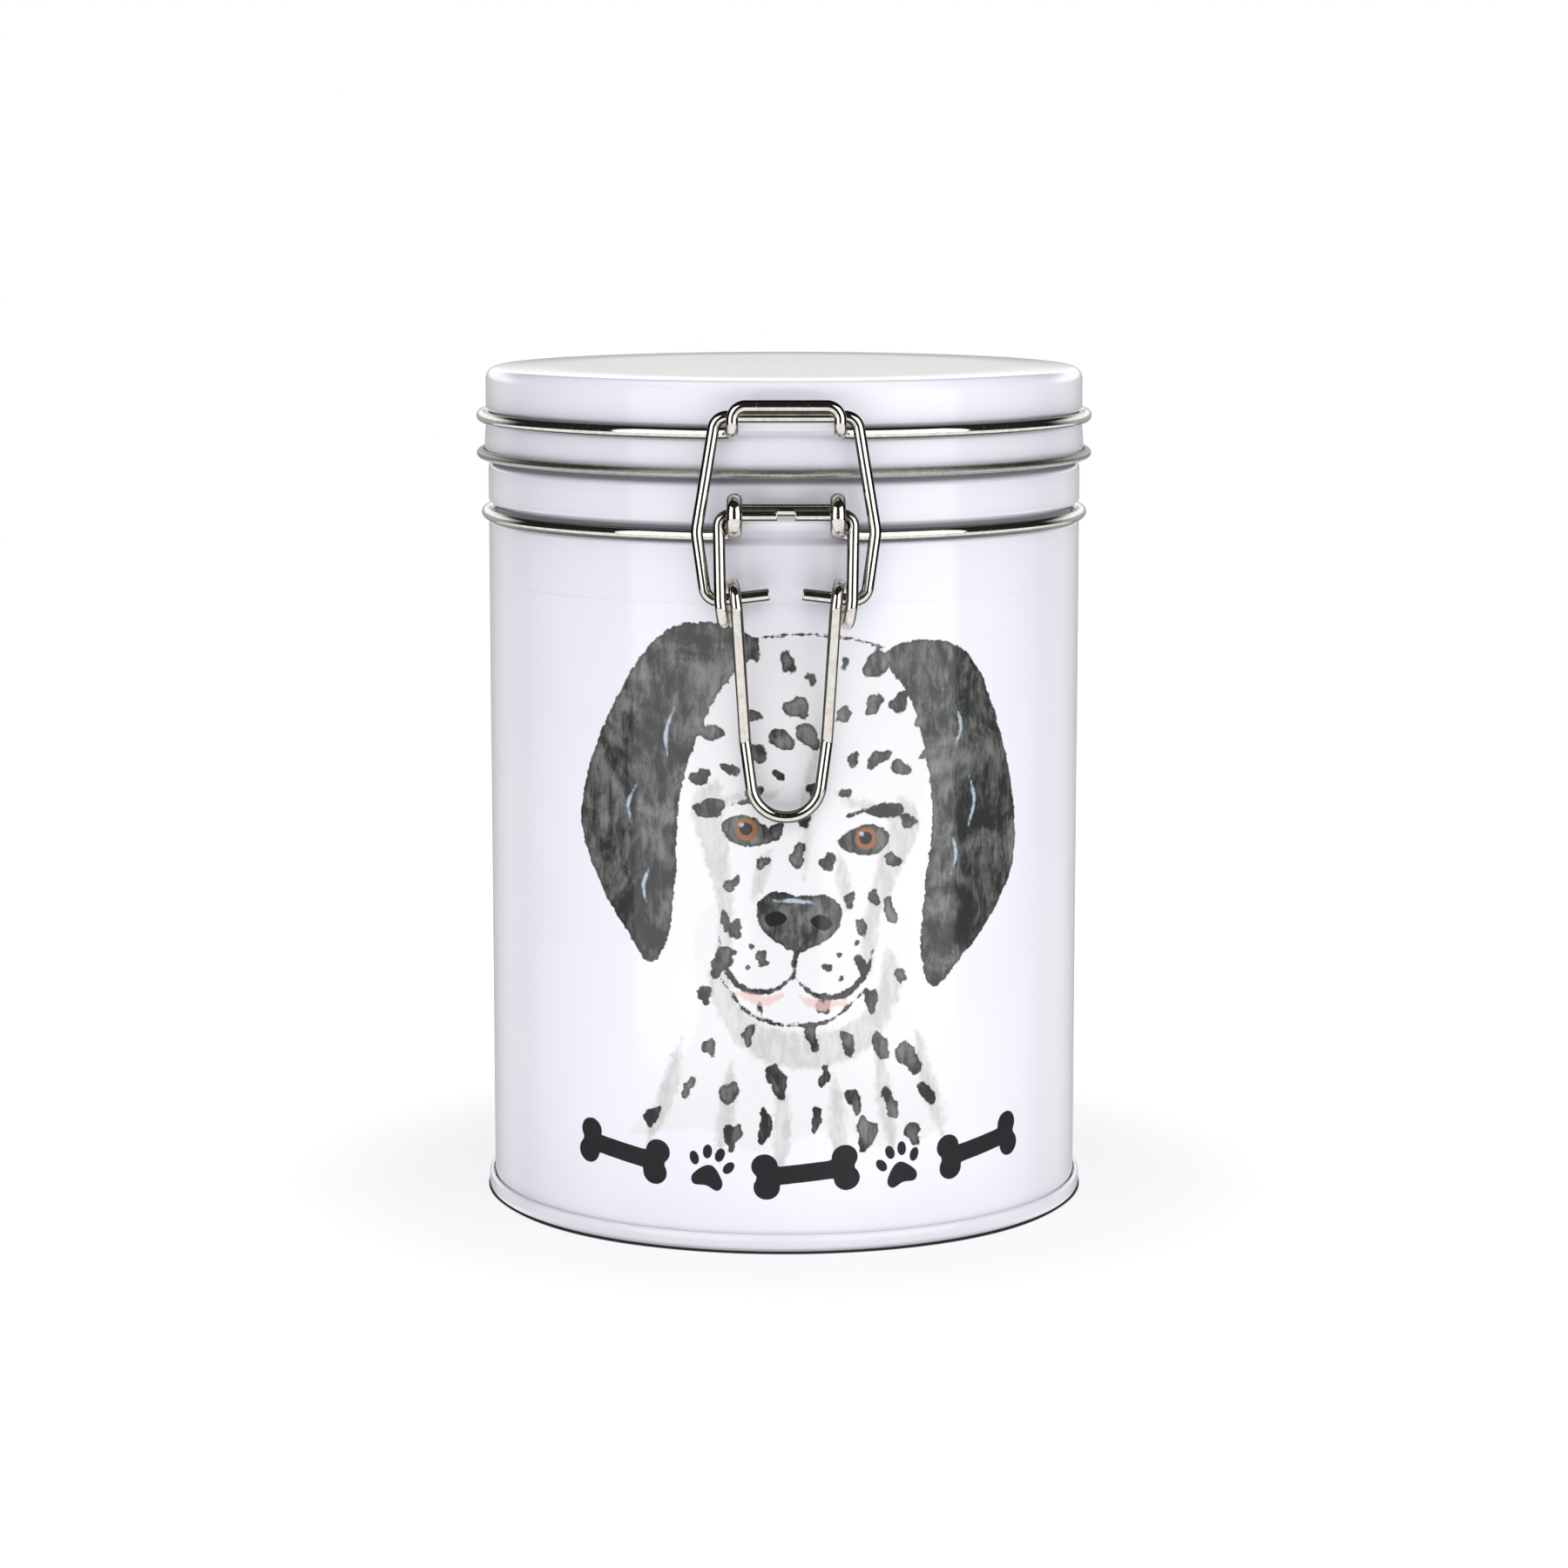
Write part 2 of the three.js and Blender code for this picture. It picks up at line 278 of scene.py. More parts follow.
def painted_wire_edge_shade(tree):
    """Painted shade and painted reflection in the wire's colour along both edges of a round wire, standing in
    for where it mirrors the dark room and the shade behind it.
    Only the turn round the wire's own section counts, so a wire seen end on stays bright."""
    seen = add_node(tree, "ShaderNodeNewGeometry").outputs
    run = attribute(tree, "wire_run", "Vector")
    run = add_node(tree, "ShaderNodeVectorTransform", convert_to="WORLD", convert_from="OBJECT", Vector=run)
    run = run.outputs["Vector"]
    along = vector_maths(tree, "DOT_PRODUCT", seen["Incoming"], run, "Value")
    across = vector_maths(tree, "SUBTRACT", seen["Incoming"], vector_maths(tree, "SCALE", run, along))
    towards = add_node(tree, "ShaderNodeVectorMath", operation="NORMALIZE", Vector=across).outputs["Vector"]
    facing = vector_maths(tree, "DOT_PRODUCT", seen["Normal"], towards, "Value")
    return ramp(tree, facing, 0.62, 0.80, 0.10, 1.0)


def nickel_material():
    """Bright nickel plate on drawn wire: fine lengthwise draw marks, and a few pits where it was bent."""
    material, tree, shader = new_material("nickel_plate")
    along = attribute(tree, "wire_space", "Vector")
    drawn = noise(tree, scaled(tree, along, (9000, 9000, 130)), 1.0, 3, 0.55)
    cloud = noise(tree, along, 900, 3, 0.6)
    pits = noise(tree, along, 3400, 1, 0.4)
    pitted = ramp(tree, pits, 0.75, 0.80)
    bright, dull = (0.80, 0.765, 0.70, 1), (0.66, 0.63, 0.57, 1)
    plate = mix_colour(tree, ramp(tree, cloud, 0.35, 0.75), bright, dull)
    # painted shade and reflection: the plate colour is darkened along each wire's edges
    plate = mix_colour(tree, 1.0, plate, painted_wire_edge_shade(tree), "MULTIPLY")
    give(tree, shader, Base_Color=mix_colour(tree, pitted, plate, (0.12, 0.11, 0.10, 1)))
    smooth = ramp(tree, cloud, 0.3, 0.75, 0.02, 0.07)
    rough = maths(tree, "ADD", smooth, times(tree, pitted, 0.4))
    give(tree, shader, Metallic=1.0, Roughness=rough)
    sunk = maths(tree, "SUBTRACT", times(tree, drawn, 0.12), pitted)
    bump(tree, shader, sunk, 0.012 * MM)
    return material


def cut_steel_material():
    """The sheared end of a wire: bare steel with torn grain."""
    material, tree, shader = new_material("sheared_steel")
    place = object_place(tree)
    torn = noise(tree, scaled(tree, place, (2000, 2000, 5200)), 1.0, 4, 0.7)
    give(tree, shader, Base_Color=mix_colour(tree, torn, (0.16, 0.15, 0.14, 1), (0.5, 0.48, 0.45, 1)))
    give(tree, shader, Metallic=1.0, Roughness=ramp(tree, torn, 0.3, 0.7, 0.35, 0.55))
    bump(tree, shader, torn, 0.04 * MM)
    return material


def silicone_material():
    material, tree, shader = new_material("gasket_silicone")
    place = object_place(tree)
    haze = noise(tree, place, 260, 4, 0.6)
    give(tree, shader, Base_Color=mix_colour(tree, haze, (0.70, 0.70, 0.67, 1), (0.84, 0.84, 0.82, 1)))
    give(tree, shader, Roughness=ramp(tree, haze, 0.3, 0.7, 0.42, 0.55))
    give(tree, shader, Subsurface_Weight=0.15, Subsurface_Scale=2 * MM)
    bump(tree, shader, noise(tree, place, 3200, 3), 0.01 * MM)
    return material


LACQUER = lacquer_material("white_lacquer", WHITE)
# The lid's lacquer is a lighter copy of the wall's white: painted light.
LID_LACQUER_PAINTED_LIGHTER = lacquer_material("lid_lacquer_painted_lighter", LID_WHITE_PAINTED_LIGHTER)
PRINT = print_material()
CURL_TINPLATE = tinplate_material("rolled_tinplate", (0.30, 0.305, 0.285, 1), (0.62, 0.62, 0.59, 1), 1.0)
# Inside, a thin clear lacquer softens the metal's shine.
TINPLATE = tinplate_material("inside_tinplate", (0.60, 0.60, 0.57, 1), (0.80, 0.80, 0.77, 1), 0.6)
NICKEL = nickel_material()
CUT_STEEL = cut_steel_material()
SILICONE = silicone_material()


# -------- sheet metal


def arc(r, z, radius, from_deg, to_deg, steps):
    """Points on an arc in a profile, 0 degrees being outwards and 90 up."""
    angles = np.radians(np.linspace(from_deg, to_deg, steps + 1))
    return [(r + radius * math.cos(a), z + radius * math.sin(a)) for a in angles]


def rounded(outline, steps=5):
    """A profile whose corners (r, z, radius) become arcs. Points (r, z) stay sharp."""
    out = []
    for i, item in enumerate(outline):
        here = np.array(item[:2])
        radius = item[2] if len(item) == 3 else 0
        if not radius:
            out.append(tuple(here))
            continue
        u = np.array(outline[i - 1][:2]) - here
        v = np.array(outline[i + 1][:2]) - here
        u, v = u / np.linalg.norm(u), v / np.linalg.norm(v)
        half = math.acos(float(np.clip(u @ v, -1, 1))) / 2
        middle = here + (u + v) / np.linalg.norm(u + v) * radius / math.sin(half)
        start = here + u * radius / math.tan(half) - middle
        end = here + v * radius / math.tan(half) - middle
        turn = math.atan2(start[0] * end[1] - start[1] * end[0], float(start @ end))
        for k in range(steps + 1):
            c, s = math.cos(turn * k / steps), math.sin(turn * k / steps)
            out.append((middle[0] + c * start[0] - s * start[1], middle[1] + s * start[0] + c * start[1]))
    return out


def offset(path, distance):
    """The same path moved sideways, to its right as it is listed."""
    points = np.array(path)
    ahead = np.vstack([points[1:] - points[:-1], points[-1:] - points[-2:-1]])
    behind = np.vstack([ahead[:1], ahead[:-1]])
    unit = lambda d: d / np.linalg.norm(d, axis=1)[:, None]
    direction = unit(unit(ahead) + unit(behind))
    side = np.stack([direction[:, 1], -direction[:, 0]], 1)
    moved = points + side * distance
    on_axis = points[:, 0] < 1e-9
    moved[on_axis, 0] = 0
    return [tuple(p) for p in moved]


def tin_angles(extra=()):
    """Angles round the tin from the rear, where the side seam is, as one full turn."""
    even = np.linspace(0, 2 * math.pi, ROUND_STEPS, endpoint=False)
    return np.unique(np.round(np.concatenate([even, np.array(extra) % (2 * math.pi)]), 7))


def revolve(name, profile, materials, zone=None, angles=None, swell=None):
    """A closed profile of (r, z) turned round the tin's axis.
    zone gives each profile edge its material's number. swell(angle, r) moves a point outwards."""
    angles = tin_angles() if angles is None else angles
    count, turns = len(profile), len(angles)
    verts, index = [], {}
    for i, (r, z) in enumerate(profile):
        for j, a in enumerate(angles):
            if r < 1e-9:
                index[i, j] = index[i, 0] if j else len(verts)
                if not j:
                    verts.append((0, 0, z))
                continue
            radius = r + (swell(a, r) if swell else 0)
            index[i, j] = len(verts)
            verts.append((radius * math.sin(a), radius * math.cos(a), z))
    closes = profile[0][0] > 1e-9
    faces, numbers = [], []
    for i in range(count if closes else count - 1):
        k = (i + 1) % count
        for j in range(turns):
            n = (j + 1) % turns
            ring = [index[i, j], index[k, j], index[k, n], index[i, n]]
            faces.append(list(dict.fromkeys(ring)))
            numbers.append(zone[i] if zone else 0)
    return make_piece(name, verts, faces, materials, numbers)


def make_piece(name, verts, faces, materials, numbers=None, sharp_deg=35):
    mesh = bpy.data.meshes.new(name)
    mesh.from_pydata(verts, [], faces)
    mesh.validate()
    for material in materials:
        mesh.materials.append(material)
    if numbers is not None:
        mesh.polygons.foreach_set("material_index", np.array(numbers, np.int32))
    mesh.shade_smooth()
    mesh.set_sharp_from_angle(angle=math.radians(sharp_deg))
    return add_object(name, mesh)


def settle(piece, body, slot, *nodes):
    """The piece rides on its CAD body, and stands for the CAD nodes it is the fine version of."""
    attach(piece, body)
    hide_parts(*nodes)


SEAM_HALF = 2.2 * MM  # half the width of the side seam's overlap
SEAM_STEP = 0.16 * MM


def side_seam(angle, r):
    """The welded overlap down the rear of the body, fading out into the neck."""
    across = abs(math.remainder(angle, 2 * math.pi)) * BODY_R
    inside = min(max((SEAM_HALF - across) / (0.35 * MM), 0), 1)
    return SEAM_STEP * inside if r > BODY_R - 1e-5 else 0


def build_body_shell():
    groove_low, floor_low, floor_high, groove_high = (h * MM for h in (124.1, 125.1, 126.5, 127.9))
    floor_r = BODY_R - 1.2 * MM
    shoulder_z = 134.3 * MM
    rim_r = 0.9 * MM
    outside = rounded([
        (BODY_R, 0.95 * MM),
        *[(BODY_R, h * MM) for h in (30, 60, 90)],
        (BODY_R, groove_low, 0.9 * MM),
        (floor_r, floor_low, 0.5 * MM),
        (floor_r, floor_high, 0.5 * MM),
        (BODY_R, groove_high, 0.9 * MM),
        (BODY_R, shoulder_z, 1.2 * MM),
        (NECK_R, shoulder_z + 1.3 * MM, 0.7 * MM),
        (NECK_R, RIM_Z - rim_r - 0.5 * MM),
    ])
    outside += arc(NECK_R - rim_r, RIM_Z - rim_r, rim_r, 0, 290, 18)
    inside = offset(outside, -SHEET)
    profile = outside + inside[::-1]
    zone = [0] * len(outside) + [1] * len(inside)
    edges = [SEAM_HALF, SEAM_HALF - 0.35 * MM]
    marks = [sign * e / BODY_R for e in edges for sign in (-1, 1)]
    piece = revolve("body_wall", profile, [LACQUER, TINPLATE], zone, tin_angles(marks), side_seam)
    settle(piece, "canister", "white_lacquer", "body_shell")


def build_base_end():
    chuck_r, channel_r, hook_r = 52.95 * MM, 53.3 * MM, 54.3 * MM
    panel = SEAM_H - SHEET
    bead = 0.7 * MM  # depth of the rings pressed into the panel
    under = [(0, panel)]
    for r in (30, 41):
        under += rounded([
            (r * MM, panel),
            (r * MM + 0.8 * MM, panel, 0.8 * MM),
            (r * MM + 1.8 * MM, panel - bead, 0.8 * MM),
            (r * MM + 3.2 * MM, panel - bead, 0.8 * MM),
            (r * MM + 4.2 * MM, panel, 0.8 * MM),
            (r * MM + 5 * MM, panel),
        ])
    over = [(r, z + SHEET) for r, z in under]
    seam = rounded([
        (chuck_r - 2 * MM, panel),
        (chuck_r, panel, 0.6 * MM),
        (chuck_r, 0, 0.35 * MM),
        (SEAM_R, 0, 0.7 * MM),
        (SEAM_R, SEAM_H, 0.55 * MM),
        (hook_r, SEAM_H, 0.2 * MM),
        (hook_r, 0.55 * MM),
        (channel_r, 0.55 * MM),
        (channel_r, SEAM_H),
    ])
    profile = under + seam + over[::-1]
    zone = [0] * (len(under) + len(seam)) + [1] * len(over)
    piece = revolve("base_pan", profile, [LACQUER, TINPLATE], zone)
    settle(piece, "canister", "white_lacquer", "base_end")


def build_lid_cap():
    """Listed along the sheet's inner face. The curl turns that face outwards, so the curl is bare metal."""
    inner_r = LID_R - SHEET
    shoulder = 2.2 * MM
    flare_r = CURL_OUT_R - 2 * CURL_R
    depth = 0.7 * MM
    curl_z = LID_LOW_Z + CURL_R
    inside = rounded([
        *[(r * MM, TOP_Z - SHEET) for r in (0, 20, 40)],
        (inner_r, TOP_Z - SHEET, shoulder - SHEET),
        (inner_r, 144.6 * MM, 0.9 * MM),
        (inner_r - depth, 143.7 * MM, 0.4 * MM),
        (inner_r - depth, 142.7 * MM, 0.4 * MM),
        (inner_r, 141.8 * MM, 0.9 * MM),
        (flare_r, curl_z + 1.2 * MM),
    ], 8)
    curl = arc(CURL_OUT_R - CURL_R, curl_z, CURL_R, 180, 472, 22)
    zone = [1] * len(inside) + [2] * len(curl)
    inside += curl
    outside = offset(inside, -SHEET)
    profile = inside + outside[::-1]
    zone += [0] * len(outside)
    piece = revolve("lid_shell", profile, [LID_LACQUER_PAINTED_LIGHTER, TINPLATE, CURL_TINPLATE], zone)
    settle(piece, "lid", "white_lacquer", "lid_cap")


def build_gasket():
    (_, _, low), (out_r, _, high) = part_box("lid_gasket")
    in_r = 49 * MM
    mid = (in_r + out_r) / 2
    profile = rounded([
        (mid - 0.5 * MM, low),
        (mid, low + 0.5 * MM, 0.3 * MM),
        (mid + 0.5 * MM, low),
        (out_r, low, 0.5 * MM),
        (out_r, high, 0.5 * MM),
        (in_r, high, 0.5 * MM),
        (in_r, low, 0.5 * MM),
        (mid - 0.51 * MM, low),
    ])
    piece = revolve("lid_seal", profile, [SILICONE])
    settle(piece, "lid", "gasket_silicone", "lid_gasket")


build_body_shell()
build_base_end()
build_lid_cap()
build_gasket()

# -------- the printed picture
# Drawn in millimetres on the unrolled wall: u to the right of the clasp's middle plane, z up from the floor.
# Each ink is kept as a distance to its nearest edge, negative inside, so that the material can feather it.

FAR = 9.0  # stands for any distance too great to matter
REACH = 3.0  # how far beyond an outline's box its distances are worked out
INKS = ("paper", "wash", "dark", "pink", "brown", "black", "blue")
HEAD_AT, HEAD_TILT = (3.5, 73.5), math.radians(-5)
EYE_OUT = 10.5  # from the middle of the head to each eye


def smooth_loop(points, steps=8):
    """A closed curve through the points."""
    p = np.array(points, float)
    before, here, after, beyond = (np.roll(p, k, 0)[:, None] for k in (1, 0, -1, -2))
    t = np.linspace(0, 1, steps, endpoint=False)[None, :, None]
    curve = 2 * here + (after - before) * t
    curve = curve + (2 * before - 5 * here + 4 * after - beyond) * t**2
    curve = curve + (3 * here - before - 3 * after + beyond) * t**3
    return (curve / 2).reshape(-1, 2)


def smooth_line(points, steps=8):
    """An open curve through the points."""
    p = np.array(points, float)
    ends = np.vstack([2 * p[0] - p[1], p, 2 * p[-1] - p[-2]])
    return smooth_loop(ends, steps)[steps : len(p) * steps + 1]


def oval(x, y, half_x, half_y, turn=0.0, wobble=0.0, rng=None):
    """An ellipse, or with a wobble, the sort of blot that a loaded brush leaves."""
    a = np.linspace(0, 2 * math.pi, 24, endpoint=False)
    r = np.ones_like(a)
    if wobble:
        for waves in (2, 3, 5):
            r += wobble / waves * 2 * math.sin(rng.uniform(0, 6)) * np.cos(waves * a + rng.uniform(0, 6))
    px, py = half_x * r * np.cos(a), half_y * r * np.sin(a)
    c, s = math.cos(turn), math.sin(turn)
    return np.stack([x + c * px - s * py, y + s * px + c * py], 1)


def mirrored(right):
    """A symmetric loop from its right half, which is listed from top to bottom."""
    left = [(-x, y) for x, y in right[::-1] if x > 0]
    return list(right) + left


def on_side(side, points):
    """Points of the right side, or with side -1, of the left."""
    return [(side * x, y) for x, y in points]


class Picture:
    """Distances of every place on the wall to the edges of each ink."""

    def __init__(self, places):
        self.places = places
        self.ink = {name: np.full(len(places), FAR) for name in INKS}
        self.at, self.tilt = (0, 0), 0.0

    def moved(self, points):
        p = np.array(points, float)
        c, s = math.cos(self.tilt), math.sin(self.tilt)
        return p @ np.array([[c, s], [-s, c]]) + self.at

    def spread(self, ink, low, high, distance):
        near = np.all((self.places > low - REACH) & (self.places < high + REACH), axis=1)
        if near.any():
            layer = self.ink[ink]
            layer[near] = np.minimum(layer[near], distance(self.places[near]))

    def fill(self, ink, outline):
        """Everything inside a closed outline."""
        loop = self.moved(outline)
        self.spread(ink, loop.min(0), loop.max(0), lambda places: edge_distance(places, loop))

    def stroke(self, ink, points, width, taper=0.7):
        """A brush stroke that thins towards both ends."""
        line = self.moved(smooth_line(points))
        t = np.linspace(-1, 1, len(line) - 1)
        half = width / 2 * (1 - taper * t**2)
        self.spread(ink, line.min(0), line.max(0), lambda places: nearest(places, line[:-1], line[1:], half))


def nearest(places, starts, ends, half_widths):
    """Distance to the nearest of some segments, less its half width."""
    best = np.full(len(places), FAR)
    for a, b, half in zip(starts, ends, half_widths):
        along = b - a
        t = np.clip((places - a) @ along / max(along @ along, 1e-9), 0, 1)
        gap = np.linalg.norm(places - a - t[:, None] * along, axis=1)
        best = np.minimum(best, gap - half)
    return best


def edge_distance(places, loop):
    """Distance to a closed outline, negative inside it."""
    ahead = np.roll(loop, -1, 0)
    x, y = places.T
    inside = np.zeros(len(places), bool)
    for (ax, ay), (bx, by) in zip(loop, ahead):
        if ay != by:
            inside ^= ((ay > y) != (by > y)) & (x < ax + (y - ay) * (bx - ax) / (by - ay))
    return np.where(inside, -1, 1) * nearest(places, loop, ahead, np.zeros(len(loop)))


SKULL = mirrored([
    (0, 34.5), (9, 34), (17, 30), (21, 21), (21, 10), (19, 1), (16, -7),
    (14.6, -14), (14.2, -21), (11.5, -28), (6, -31.8), (0, -32.6),
])
EAR = [
    (11, 32.5), (19, 35.5), (28, 33), (35, 23), (41, 9), (42.5, -3), (37.5, -13), (31, -20.5),
    (26, -25.5), (22.8, -20), (22.4, -8), (22.8, 4), (20.6, 15), (16.5, 25),
]
NECK = [
    (-17, -12), (-19, -33), (-26, -46), (-32, -54), (-19, -52), (-8, -56), (4, -52), (14, -55.5),
    (27, -52), (22, -42), (18, -30), (16, -12),
]


def spot_places(rng, outline, count, gap, margin, avoid):
    """Scattered places inside an outline, clear of each other and of the circles (x, y, r) to avoid."""
    low, high = outline.min(0), outline.max(0)
    tries = [(rng.uniform(low[0], high[0]), rng.uniform(low[1], high[1])) for _ in range(count * 40)]
    within = edge_distance(np.array(tries), outline) < -margin
    kept = []
    for (x, y), fits in zip(tries, within):
        clear = all(math.hypot(x - a, y - b) > r for a, b, r in avoid)
        apart = all(math.hypot(x - a, (y - b) * 0.8) > gap for a, b in kept)
        if fits and clear and apart:
            kept.append((x, y))
    return kept[:count]


def draw_half_face(picture, side):
    """One ear, eye, nostril and half of the mouth, with the washes beside them. Side -1 is the left."""
    fill = lambda ink, outline: picture.fill(ink, smooth_loop(on_side(side, outline)))
    stroke = lambda ink, line, width: picture.stroke(ink, on_side(side, line), width)
    fill("dark", EAR)
    fill("dark", [(5.4, -0.7), (8, 1.9), (11.6, 2.9), (15, 0.8), (12.6, -2.2), (8.6, -2.4)])
    picture.fill("brown", oval(side * EYE_OUT, 0.35, 1.95, 1.95))
    picture.fill("black", oval(side * EYE_OUT, 0.45, 1.15, 1.15))
    picture.fill("blue", oval(side * EYE_OUT - 0.8, 1.1, 0.5, 0.42))
    fill("black", [(2.0, -14.4), (3.8, -13.4), (5.9, -14.6), (5.0, -16.1), (3.1, -15.8)])
    stroke("dark", [(0, -24.4), (3.6, -27.5), (8.8, -27.4), (12.4, -23.6), (13.6, -19.2)], 1.1)
    stroke("pink", [(1.6, -28.2), (5, -29.4), (9.6, -28.5)], 1.7)
    stroke("wash", [(6.2, -3), (7.2, -7.5), (8.2, -12)], 2.2)
    stroke("wash", [(4.5, 8), (7.5, 6.4), (13, 5.6), (16.5, 2)], 1.6)
    stroke("dark", [(6.6, 3.9), (10, 5.2), (14, 4.2)], 0.8)
    cheek = [(16, 8), (20.4, 4), (17.6, -5), (14.4, -13), (13.6, -23), (11.4, -20), (12, -10), (14, 0)]
    fill("wash", cheek)


def draw_head(picture, rng):
    """A spotted dog's head seen from in front, tilted a little, with both ears hanging."""
    skull = smooth_loop(SKULL)
    picture.fill("paper", skull)
    for side in (1, -1):
        draw_half_face(picture, side)
    nose = mirrored([(0, -10.3), (4.6, -10), (7.3, -12.3), (6.7, -16.3), (3.4, -19), (0, -20.3)])
    picture.fill("dark", smooth_loop(nose))
    picture.stroke("dark", [(0, -19), (0, -22), (0.1, -25)], 1.0, 0.3)
    picture.stroke("wash", [(0.4, 15), (-0.4, 8), (0, 0), (0.3, -7)], 2.0)
    picture.stroke("dark", [(-12, 33.6), (-4, 35), (5, 34.8), (12, 33.4)], 0.4, 0.4)
    picture.stroke("dark", [(-13, -26), (-7, -31.9), (0, -33.2), (7, -31.9), (13, -26)], 0.7, 0.5)
    picture.stroke("blue", [(-4.6, -11.6), (-1, -11.3), (2.6, -11.5)], 0.7)
    for x, y, drop in ((26, 24, 7), (30, 12, 9), (27, 2, 8), (-25, 20, 9), (-31, 6, 8), (-27, -8, 7)):
        glint = [(x, y), (1.05 * x, y - drop / 2), (1.02 * x, y - drop)]
        picture.stroke("blue", glint, 0.65, 0.9)
    for x, y in ((5, -22.5), (8, -24), (10.5, -21), (7.5, -20.4), (10.6, -17.5)):
        for sign in (1, -1):
            dot = oval(sign * x + rng.uniform(-0.4, 0.4), y + rng.uniform(-0.4, 0.4), 0.55, 0.5)
            picture.fill("dark", dot)
    eyes = [(EYE_OUT, 0, 5.2), (-EYE_OUT, 0, 5.2)]
    nose_and_mouth = [(0, -15, 8.5), (0, -27, 6), (9, -26, 3.5), (-9, -26, 3.5)]
    for x, y in spot_places(rng, skull, 46, 4.3, 1.0, eyes + nose_and_mouth):
        size = rng.choice((0.55, 0.8, 1.0, 1.25)) * (1.65 if y > 3 else 1.3)
        turn = math.atan2(y - 6, x) + rng.uniform(-0.5, 0.5)
        long, short = size * rng.uniform(1.0, 1.5), size * rng.uniform(0.7, 1.0)
        picture.fill("dark", oval(x, y, long, short, turn, 0.25, rng))


def draw_neck(picture, rng):
    """The neck and chest, which fade out downwards in loose strokes."""
    neck = smooth_loop(NECK)
    picture.fill("paper", neck)
    under_chin = [(-14.5, -20), (-12, -29.5), (-5, -34), (5, -34), (12, -29.5), (14.5, -20), (17, -27),
                  (11, -37.5), (0, -41), (-11, -37.5), (-17, -27)]
    picture.fill("wash", smooth_loop(under_chin))
    strokes = (
        (-22, -36, -56, -7),
        (-13, -40, -58, -2.5),
        (-4, -43, -60, -0.5),
        (5, -42, -61, 1.5),
        (13, -38, -57, 3),
        (20, -34, -55, 6),
    )
    for x, top, low, lean in strokes:
        picture.stroke("wash", [(x, top), (x + lean * 0.4, (top + low) / 2), (x + lean, low)], 3.0, 0.9)
    for x, y in spot_places(rng, neck, 40, 5.2, 1.1, [(0, -20, 14.5)]):
        long = rng.uniform(1.7, 3.0)
        turn = math.pi / 2 + x * 0.02 + rng.uniform(-0.25, 0.25)
        picture.fill("dark", oval(x, y, long, long * rng.uniform(0.45, 0.7), turn, 0.3, rng))


def draw_bone(picture, u, z, length, turn):
    """A biscuit bone: a bar with two knobs at each end."""
    picture.at, picture.tilt = (u, z), turn
    half = length / 2 - 2.4
    picture.stroke("black", [(-half, 0), (0, 0), (half, 0)], 3.3, 0)
    for x in (-half, half):
        for y in (-1.9, 1.9):
            picture.fill("black", oval(x, y, 2.35, 2.2))
    picture.at, picture.tilt = (0, 0), 0.0


def draw_paw(picture, u, z, turn):
    """A paw print: one broad pad and four toes."""
    picture.at, picture.tilt = (u, z), turn
    picture.fill("black", smooth_loop(mirrored([(0, 0.9), (1.5, 0.1), (2.9, -1.9), (2.2, -3.3), (0, -2.9)])))
    for x, y, lean in ((1.15, 3.1, -0.15), (3.2, 1.3, -0.5)):
        picture.fill("black", oval(x, y, 0.85, 1.3, lean))
        picture.fill("black", oval(-x, y, 0.85, 1.3, -lean))
    picture.at, picture.tilt = (0, 0), 0.0


def draw_border(picture):
    """The row of bones and paw prints under the portrait."""
    middle = HEAD_AT[0]
    for k, turn_deg in ((-1, -9), (0, 6), (1, 9)):
        draw_bone(picture, middle + k * 34, 14.0 + 2.0 * abs(k), 19, math.radians(turn_deg))
    for k in (-1, 1):
        draw_paw(picture, middle + k * 17, 14.2, math.radians(14 * k))


def draw_picture(places):
    picture = Picture(places)
    rng = random.Random(11)
    picture.at = HEAD_AT
    draw_neck(picture, rng)
    picture.at, picture.tilt = HEAD_AT, HEAD_TILT
    draw_head(picture, rng)
    picture.at, picture.tilt = (0, 0), 0.0
    draw_border(picture)
    return picture.ink


# -------- the print on the wall

PRINT_LOW, PRINT_HIGH = 5 * MM, 114 * MM
PRINT_HALF_ANGLE = math.radians(80)
PRINT_PITCH = 0.42 * MM  # between rows, and between columns where there is ink
DRAWN_HALF_WIDTH = 50 * MM
PRINT_LIFT, PRINT_FACE = 0.01 * MM, 0.03 * MM  # the film's back and front, out from the wall
BACK_STEP = 6  # the film's back has one face to this many columns of its front


def print_columns():
    """Angles round the wall from the clasp, closest together where there is ink."""
    fine = np.arange(-DRAWN_HALF_WIDTH, DRAWN_HALF_WIDTH, PRINT_PITCH) / BODY_R
    beyond = np.radians(np.arange(math.degrees(fine[-1]) + 1, math.degrees(PRINT_HALF_ANGLE), 1.5))
    return np.unique(np.round(np.concatenate([-beyond, fine, beyond]), 6))


